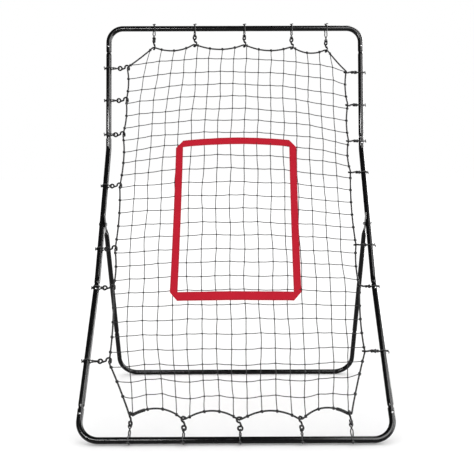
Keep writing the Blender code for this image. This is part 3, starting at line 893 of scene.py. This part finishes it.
def lashing():
    """Next to the two lowest corner hooks, twine is wound round the border cord."""
    shape = Shape()
    radius = LASHING_SIZE * BORDER_RADIUS
    for held, way in ((HELD_AT[LOW_LEFT], -1), (HELD_AT[LOW_RIGHT], 1)):
        points = [surface_point(*ROUTE[held + way * step]) for step in range(1, 5)]
        line = [points[0]]
        length = 0
        for point in smooth_path(points, 12)[1:]:
            length += (point - line[-1]).length
            line.append(point)
            if length > LASHING_LENGTH:
                break
        shape.cord(line, radius, 10, taper=0.35)

        def middle(share):
            spot = share * (len(line) - 1.001)
            low = int(spot)
            return (line[low].lerp(line[low + 1], spot - low),
                    (line[low + 1] - line[low]).normalized())
        coil = coiled(middle, radius, LASHING_TURNS, LASHING_TURNS * 10)
        shape.cord(coil, LASHING_TWINE, 6)
    shape.finish("border_cord_lashing", CORD, ROOT, None, "cord_black")


# ---- net
def resample(line, steps):
    """Points of the frame's surface along a flat line, at weighted steps."""
    runs = [0]
    for first, second in zip(line, line[1:]):
        runs.append(runs[-1] + (second - first).length)
    out = []
    for index in range(len(steps) + 1):
        target = runs[-1] * sum(steps[:index]) / sum(steps)
        low = max(i for i in range(len(runs) - 1) if runs[i] <= target + 1e-12)
        share = (target - runs[low]) / (runs[low + 1] - runs[low])
        out.append(surface_point(line[low].lerp(line[low + 1], min(1, share))))
    return out


def net_edges():
    """The four edges of the net as flat lines: left and right run down, top and bottom across."""
    flat = [point for point, _ in ROUTE]
    first_left, first_right = HELD_AT[HIGH_LEFT], HELD_AT[HIGH_RIGHT]
    low_right, low_left = HELD_AT[LOW_RIGHT], HELD_AT[LOW_LEFT]
    last_top = HELD_AT[HIGH_RIGHT - 1]
    corner_left = first_left + round(0.45 * (len(flat) + HELD_AT[0] - first_left))
    corner_right = last_top + round(0.55 * (first_right - last_top))
    top = (flat + flat)[corner_left:len(flat) + corner_right + 1]
    right = flat[corner_right:low_right + 1]
    bottom = flat[low_right:low_left + 1][::-1]
    left = flat[low_left:corner_left + 1][::-1]
    return top, right, bottom, left


def row_heights(groups):
    """The heights of the rows of meshes, from the top down."""
    return [height for count, height in groups for _ in range(count)]


def relaxed_net():
    """The knots of the taut net: each lies in the middle of its neighbours, and the outer ones
    are tied to the border cord. The rows pull harder than the columns, but for the lowest."""
    top, right, bottom, left = net_edges()
    grid = np.zeros((NET_ROWS + 1, NET_COLUMNS + 1, 3))
    grid[:, 0] = resample(left, row_heights(LEFT_ROWS))
    grid[:, -1] = resample(right, row_heights(RIGHT_ROWS))
    grid[0] = resample(top, [1] * NET_COLUMNS)
    grid[-1] = resample(bottom, [CORNER_MESH] + [1] * (NET_COLUMNS - 2) + [CORNER_MESH])
    share = (np.arange(1, NET_COLUMNS) / NET_COLUMNS).reshape((1, -1, 1))
    grid[1:-1, 1:-1] = grid[1:-1, :1] * (1 - share) + grid[1:-1, -1:] * share
    pull = np.full((NET_ROWS - 1, 1, 1), TAUT_PULL)
    pull[-len(SLACK_PULL):, 0, 0] = SLACK_PULL
    grip = MEAN_ROW / np.array(row_heights(INNER_ROWS)).reshape((NET_ROWS, 1, 1))
    above, below = grip[:-1], grip[1:]
    for _ in range(RELAX_STEPS):
        grid[1:-1, 1:-1] = (pull * (grid[1:-1, :-2] + grid[1:-1, 2:]) + above * grid[:-2, 1:-1]
                            + below * grid[2:, 1:-1]) / (above + below + 2 * pull)
    return grid


GRID = relaxed_net()


def uneven(point):
    """Small slack and tension differences that keep the twine from lying ruler straight."""
    x, y, z = point
    return Vector((0.0022 * sin(23 * z + 9 * x) + 0.0012 * sin(61 * x + 31 * z),
                   0.0015 * sin(47 * x + 12 * z),
                   0.0020 * sin(29 * x + 17 * z) + 0.0012 * sin(71 * z)))


def knots():
    """Every knot of the net as a Vector, those on the border unmoved."""
    out = [[Vector(point) for point in row] for row in GRID]
    for row in out[1:-1]:
        for point in row[1:-1]:
            point += uneven(point)
    return out


KNOTS = knots()
INNER_ROW_NUMBERS = range(1, NET_ROWS)
INNER_COLUMN_NUMBERS = range(1, NET_COLUMNS)


def strand(shape, points):
    """One twine through its knots, with a slight belly in each mesh."""
    fine = [points[0]]
    for first, second in zip(points, points[1:]):
        belly = Vector((DICE.uniform(-1, 1), DICE.uniform(-1, 1), -1)) * TWINE_BELLY
        fine += [first.lerp(second, 0.5) + belly, second]
    shape.smooth_cord(fine, 3, TWINE_RADIUS, 6)


def net():
    shape = Shape()
    for column in INNER_COLUMN_NUMBERS:
        strand(shape, [row[column] for row in KNOTS])
    for row in INNER_ROW_NUMBERS:
        strand(shape, KNOTS[row])
    for row in INNER_ROW_NUMBERS:
        for column in INNER_COLUMN_NUMBERS:
            axis = (KNOTS[row][column + 1] - KNOTS[row][column - 1]).normalized()
            tilt = Matrix.Rotation(DICE.uniform(0.5, 1), 3, Vector((0, 1, 0)))
            shape.blob(KNOTS[row][column], (1.15 * KNOT_RADIUS, KNOT_RADIUS), tilt @ axis, 7, 4)
    shape.finish("net_knotted", TWINE, ROOT, "net", "net_black")


def border_knots():
    """Each twine's end is hitched round the border cord."""
    shape = Shape()
    edge = [(row, column, 0, 1) for row in (0, NET_ROWS) for column in INNER_COLUMN_NUMBERS]
    edge += [(row, column, 1, 0) for column in (0, NET_COLUMNS) for row in INNER_ROW_NUMBERS]
    for row, column, down, across in edge:
        run = KNOTS[row + down][column + across] - KNOTS[row - down][column - across]
        run.normalize()

        def middle(share):
            return KNOTS[row][column] + (share - 0.5) * HITCH_LENGTH * run, run
        coil = coiled(middle, BORDER_RADIUS + 0.7 * TWINE_RADIUS, HITCH_TURNS, HITCH_STEPS)
        shape.cord(coil, TWINE_RADIUS, 5)
    shape.finish("net_hitches", TWINE, ROOT, None, "net_black")


# ---- ties
def tie_frame(tube_centre, inward, front):
    """Local axes of a tie: in towards the net, along the tube, and out in front."""
    along = front.cross(inward).normalized()

    def place(e, t, n):
        return tube_centre + e * inward + t * along + n * front
    return place


def seizing(shape, place, spot, reach):
    """Two turns of the cord bind the strands together next to the tube."""
    coil = []
    for index in range(round(SEIZING_TURNS * SEIZING_STEPS) + 1):
        turn = index / SEIZING_STEPS
        angle = 2 * pi * turn
        coil.append(place(spot + SEIZING_LENGTH * (turn / SEIZING_TURNS - 0.5),
                          (reach + 0.0006) * cos(angle), (ELASTIC_RADIUS + 0.0014) * sin(angle)))
    shape.cord(coil, SEIZING_RADIUS, 6, taper=0.3)


def elastic_loop(shape, place, reach, turn, spread, squeezed, bound):
    """The elastic loop goes round the tube and through the hook's eye. squeezed is its radius
    where it passes the tube's outer side; a bound loop is tied together next to the tube."""
    thick = ELASTIC_RADIUS
    wrap = FRONT_RADIUS + thick + TOUCH
    tight = FRONT_RADIUS + squeezed + TOUCH
    slant = sqrt(0.5) * wrap
    tight_slant = sqrt(0.5) * tight
    side = radians(turn)
    grip = HOOK_WIRE + thick + 2 * TOUCH
    half = max(0.5 * spread, thick + TOUCH)
    ring = reach - HOOK_LENGTH - EYE_RADIUS
    neck = wrap + NECK_FROM_WRAP
    middle = max(0.5 * (ring + wrap), neck + 0.0060)
    front = [(-tight_slant, 0.6 * half, tight_slant, squeezed), (0, half, tight, squeezed),
             (slant, half, slant, thick), (0.93 * wrap, 0.9 * half, 0.40 * wrap, thick),
             (neck, half, 0.0012, thick), (middle, half, 0, thick),
             (ring, -grip * sin(side), grip * cos(side), thick)]
    back = [(e, -t, -n, radius) for e, t, n, radius in front[::-1]]
    turns = [(-tight, 0, 0, squeezed)] + front + [(ring + 2 * thick, 0, 0, thick)] + back
    line = smooth_path([place(e, t, n) for e, t, n, _ in turns], LOOP_STEPS, closed=True)
    radii = []
    for (*_, first), (*_, second) in zip(turns, turns[1:] + turns[:1]):
        radii += [first + (second - first) * step / LOOP_STEPS for step in range(LOOP_STEPS)]
    shape.cord(line, radii, 8, closed=True)
    if bound:
        seizing(shape, place, neck + 0.0012, half + thick)


def elastic_knot(shape, place, curl):
    """The loop's ends are tied outside the tube."""
    thick = KNOT_CORD_RADIUS
    wide = KNOT_TURN_RADIUS
    base = -FRONT_RADIUS - 2.3 * thick
    ring = [(base + wide * cos(angle), wide * sin(angle), 0.0012 * sin(2 * angle))
            for angle in (0, 0.9, 1.8, 2.7, 3.6, 4.5, 5.4)]
    upright = [(base, 0, wide), (base - wide, 0.0006, 0), (base, 0, -wide),
               (base + wide, -0.0006, 0)]
    for turns, steps in ((ring, 4), (upright, 5)):
        shape.smooth_cord([place(*point) for point in turns], steps, thick, closed=True)
    for way, length in ((1, 0.8 + 0.6 * abs(curl)), (-1, 0.7)):
        tail = [(base, 0, 0), (base - 0.0022, 0.0020 * way, 0.0010 * way),
                (base - 0.0030 * length, 0.0042 * way, 0.0016 * way),
                (base - 0.0022 * length, 0.0070 * way * length, 0.0010 * curl)]
        shape.smooth_cord([place(*point) for point in tail], 4, thick * 0.9, taper=0.25)


def hook(shape, place, reach, turn):
    """A wire hook: a closed eye, an S-shaped shank and an open bend round the border cord."""
    eye = reach - HOOK_LENGTH
    bend_centre = reach - (HOOK_BEND - HOOK_WIRE - BORDER_RADIUS)
    points = []
    for step in range(11):
        angle = radians(HOOK_STEP * step - 20)
        points.append((eye + EYE_RADIUS * cos(angle), EYE_RADIUS * sin(angle),
                       0.0028 * (step - 5) / 5))
    points.append((eye + EYE_RADIUS + 0.0014, -0.0030, 0.0014))
    for step in range(6):
        angle = radians(190 - HOOK_STEP * step)
        points.append((bend_centre + HOOK_BEND * cos(angle),
                       HOOK_RISE + HOOK_BEND * sin(angle), 0))
    for along, across in ((0.97, -0.35), (0.60, -0.80)):
        points.append((bend_centre + along * HOOK_BEND, across * HOOK_BEND, 0))
    c, s = cos(radians(turn)), sin(radians(turn))
    line = [place(e, b * c - n * s, b * s + n * c) for e, b, n in points]
    shape.smooth_cord(line, 4, HOOK_WIRE, 10, taper=0.3)


def tie(name, tube_centre, inward, front, spec, squeezed=ELASTIC_RADIUS, swing=0, bound=False):
    """One tie. swing turns its knot round the tube towards the player."""
    _, reach, turn, spread = spec
    place = tie_frame(tube_centre, inward, front)
    loop = Shape()
    elastic_loop(loop, place, reach, turn, spread, squeezed, bound)
    turned = Matrix.Rotation(radians(swing), 3, front.cross(inward))
    elastic_knot(loop, tie_frame(tube_centre, turned @ inward, turned @ front),
                 DICE.uniform(-1, 1))
    loop.finish(f"{name}_elastic", ELASTIC, ROOT, name, "tie_black")
    wire = Shape()
    hook(wire, place, reach, turn)
    wire.finish(f"{name}_hook", WIRE, ROOT, name, "tie_black")


def ties():
    for side, label, specs in ((-1, "left", LEFT_TIES), (1, "right", RIGHT_TIES)):
        for number, spec in enumerate(specs, 1):
            place = spec[0]
            tie(f"tie_{label}_{number}", side_point(place, side * HALF_WIDTH),
                Vector((-side, 0, 0)), front_normal(section_at(place)), spec, bound=True)
    for number, spec in enumerate(TOP_TIES, 1):
        tie(f"tie_top_{number}", side_point(TOP_BAR, spec[0]), -lean_direction(2),
            front_normal(2), spec)
    for number, spec in enumerate(BOTTOM_TIES, 1):
        tie(f"tie_bottom_{number}", side_point(0, spec[0]), lean_direction(0), front_normal(0),
            spec, SQUEEZED_RADIUS, KNOT_SWING)


# ---- strike-zone band
def net_surface():
    """The taut net as a surface to lay the band on."""
    wide = NET_COLUMNS + 1
    corners = [row * wide + column for row in range(NET_ROWS) for column in range(NET_COLUMNS)]
    faces = [(corner, corner + 1, corner + wide + 1, corner + wide) for corner in corners]
    return BVHTree.FromPolygons(GRID.reshape((-1, 3)).tolist(), faces)


NET_SURFACE = net_surface()


def on_net(x, place, height):
    """The point in front of the taut net at a place. The way of looking turns evenly from the
    band's foot to its head, so that nothing bunches at the frame's bend."""
    share = (place - BAND_BOTTOM) / (BAND_TOP - BAND_BOTTOM)
    lean = radians(BAND_LEANS[0] + share * (BAND_LEANS[1] - BAND_LEANS[0]))
    front = Vector((0, -cos(lean), sin(lean)))
    start = side_point(place, x + share * BAND_SHIFT) + LOOK_FROM * front
    hit, _, _, _ = NET_SURFACE.ray_cast(start, -front)
    return hit + height * front


def band_place(x, place):
    """The band's upper length is pulled up in the middle and a little up on the right."""
    share = (place - BAND_BOTTOM) / (BAND_TOP - BAND_BOTTOM)
    across = x / BAND_HALF
    return place + share ** 3 * (TOP_BOW * (1 - across * across) + TOP_TILT * across)


def ripple(x, place):
    """The webbing lies on the net with small waves."""
    return 0.0006 * sin(31 * x + 27 * place) + 0.0003 * sin(83 * (x + place))


def edges_at(corners, share):
    """The two edges (x, place) of a length of webbing at a share of its length. corners are its
    edges at its start and at its end."""
    return [tuple(a + (b - a) * share for a, b in zip(start, end)) for start, end in zip(*corners)]


def strip(shape, corners, length_steps):
    """One length of webbing."""
    first = len(shape.points)
    for step in range(length_steps + 1):
        (x0, p0), (x1, p1) = edges_at(corners, step / length_steps)
        for cross in range(BAND_STEPS + 1):
            part = cross / BAND_STEPS
            x = x0 + (x1 - x0) * part
            place = band_place(x, p0 + (p1 - p0) * part)
            edge = BAND_EDGE * (2 * part - 1) ** 4
            height = BAND_LIFT + ripple(x, place)
            shape.points.append(on_net(x, place, height + BAND_THICKNESS - edge))
            shape.points.append(on_net(x, place, height + edge))
    run = dist(corners[0][0], corners[1][0])

    def quad(uv, *spots):
        """spots are (step, cross, 0 on the upper face or 1 on the lower)."""
        shape.faces.append([first + 2 * (step * (BAND_STEPS + 1) + cross) + under
                            for step, cross, under in spots])
        shape.uvs.append(uv)
    for step in range(length_steps):
        after = step + 1
        low, high = run * step / length_steps, run * after / length_steps
        for cross in range(BAND_STEPS):
            u, v = cross / BAND_STEPS, (cross + 1) / BAND_STEPS
            quad(((u, low), (v, low), (v, high), (u, high)),
                 (step, cross, 0), (step, cross + 1, 0), (after, cross + 1, 0), (after, cross, 0))
            quad(((u, low), (u, high), (v, high), (v, low)),
                 (step, cross, 1), (after, cross, 1), (after, cross + 1, 1), (step, cross + 1, 1))
        for cross in (0, BAND_STEPS):
            quad(((0, low), (0, high), (0.05, high), (0.05, low)),
                 (step, cross, 0), (after, cross, 0), (after, cross, 1), (step, cross, 1))
    for step in (0, length_steps):
        for cross in range(BAND_STEPS):
            quad(((0, 0), (0.1, 0), (0.1, 0.001), (0, 0.001)),
                 (step, cross, 0), (step, cross + 1, 0), (step, cross + 1, 1), (step, cross, 1))


def band_strips():
    """(corners, steps) of the four lengths of webbing and the folded triangles between them."""
    outer, inner = BAND_HALF, BAND_HALF - BAND_WIDTH
    levels = ((BAND_TOP, BAND_TOP - BAND_WIDTH), (BAND_BOTTOM, BAND_BOTTOM + BAND_BOTTOM_WIDTH))
    lengths = [([[(x, edge), (x, inside)] for x in (-inner, inner)], 60) for edge, inside in levels]
    lengths += [([[(way * outer, place), (way * inner, place)]
                  for place in (levels[1][1], levels[0][1])], 90) for way in (-1, 1)]
    folds = [([[(way * inner, edge), (way * inner, inside)],
               [(way * outer, inside), (way * outer, inside)]], 8)
             for edge, inside in levels for way in (-1, 1)]
    return lengths + folds


def strike_band():
    shape = Shape()
    for corners, steps in band_strips():
        strip(shape, corners, steps)
    made = shape.finish("strike_zone_webbing", WEBBING, ROOT, "strike_zone_band", "strike_red",
                        crease=50)
    outward(made, weld=0.00005)


def stitching():
    """Two rows of stitches on each length of webbing hold it to the net."""
    shape = Shape()
    for corners, _ in band_strips()[:4]:
        start, end = [[Vector(edge) for edge in edges] for edges in corners]
        share_in = STITCH_INSET / (start[0] - start[1]).length
        for near in (0, 1):
            first = start[near].lerp(start[1 - near], share_in)
            last = end[near].lerp(end[1 - near], share_in)
            count = int((last - first).length / (STITCH + STITCH_GAP))
            for index in range(count):
                low = (index + 0.15) / count
                high = low + STITCH / (STITCH + STITCH_GAP) / count
                line = []
                for share, height in ((low, 0.0035), (0.5 * (low + high), 0.0043), (high, 0.0035)):
                    x, place = first.lerp(last, share)
                    line.append(on_net(x, band_place(x, place), height + ripple(x, place)))
                shape.cord(line, THREAD_RADIUS, 5)
    shape.finish("strike_zone_stitching", THREAD, ROOT, None, "strike_red")


# ---- stage, lights and camera
def floor():
    mesh = bpy.data.meshes.new("studio_floor")
    half = FLOOR_HALF
    mesh.from_pydata([(-half, -half, 0), (half, -half, 0), (half, half, 0), (-half, half, 0)], [],
                     [(0, 1, 2, 3)])
    make = Nodes("studio_white")
    tone = make.blend(make.noise(3), (0.938, 0.938, 0.938), (0.942, 0.942, 0.942))
    mesh.materials.append(make.surface(tone, 1, ior=1))
    made = placed("studio_floor", mesh)
    made.location.z = FLOOR_Z
    made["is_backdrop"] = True


def area_light(name, place, target, size, power):
    light = bpy.data.lights.new(name, "AREA")
    light.shape = "RECTANGLE"
    light.size, light.size_y = size
    light.energy = power
    made = placed(name, light)
    made.location = place
    made.visible_diffuse = False
    made.visible_camera = False
    made.rotation_euler = (Vector(target) - Vector(place)).to_track_quat("-Z", "Y").to_euler()


def lights():
    """A bright even sky that the gloss sees dimmed and the camera sees white, and soft boxes."""
    scene = bpy.context.scene
    scene.world = bpy.data.worlds.new("studio")
    scene.world.use_nodes = True
    tree = scene.world.node_tree
    path = tree.nodes.new("ShaderNodeLightPath")
    level = None
    for ray, changed in (("Is Glossy Ray", SKY_IN_GLOSS), ("Is Camera Ray", 1)):
        mix = tree.nodes.new("ShaderNodeMapRange")
        tree.links.new(path.outputs[ray], mix.inputs["Value"])
        mix.inputs["To Min"].default_value = SKY
        mix.inputs["To Max"].default_value = changed
        if level:
            tree.links.new(level, mix.inputs["To Min"])
        level = mix.outputs["Result"]
    sky = tree.nodes["Background"]
    sky.inputs["Color"].default_value = (1, 1, 1, 1)
    tree.links.new(level, sky.inputs["Strength"])
    for softbox in SOFTBOXES:
        area_light(*softbox)
    scene.view_settings.view_transform = "Standard"
    scene.view_settings.look = "None"


def camera():
    """A standing player's view, a little above the middle of the frame."""
    data = bpy.data.cameras.new("player_view")
    data.lens = CAMERA_LENS
    data.sensor_width = 36
    data.sensor_fit = "HORIZONTAL"
    made = placed("player_view", data)
    stand = Matrix.Translation(CAMERA_PLACE)
    for angle, axis in ((CAMERA_YAW, "Z"), (90 - CAMERA_PITCH, "X"), (-CAMERA_ROLL, "Z")):
        stand = stand @ Matrix.Rotation(radians(angle), 4, axis)
    made.matrix_world = stand
    bpy.context.scene.camera = made


# ---- everything
def build():
    camera()
    lights()
    floor()
    bottom = u_tube("bottom_u_tube", LOWER_RIM, -1, 0, BOTTOM_CORNER)
    top = u_tube("top_u_tube", TOP_RIM, 1, TOP_BAR, TOP_CORNER)
    rear_base()
    for side, label in ((-1, "left"), (1, "right")):
        tubes = side_tubes(side, label)
        leg = rear_leg(side, label)
        for joint, place, holed in (("lower", LOWER_RIM - BUTTON_FROM_RIM, bottom),
                                    ("middle", MIDDLE_RIM - BUTTON_FROM_RIM, tubes["lower"]),
                                    ("upper", UPPER_RIM - BUTTON_FROM_RIM, tubes["middle"]),
                                    ("top", TOP_RIM + BUTTON_FROM_RIM, top)):
            button(f"snap_button_{joint}_{label}", side_point(place, side * HALF_WIDTH),
                   front_at(place), FRONT_BUTTON, holed)
        button(f"snap_button_rear_{label}", leg_point(side, LEG_RIM - BUTTON_FROM_RIM), LEG_BACK,
               REAR_BUTTON, leg)
        pivot_fasteners(side, label)
    border_cord()
    lashing()
    net()
    border_knots()
    ties()
    strike_band()
    stitching()


def write_sizes():
    sizes = [[list(corner) for corner in box] for box in (CAD_BOX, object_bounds())]


build()
write_sizes()
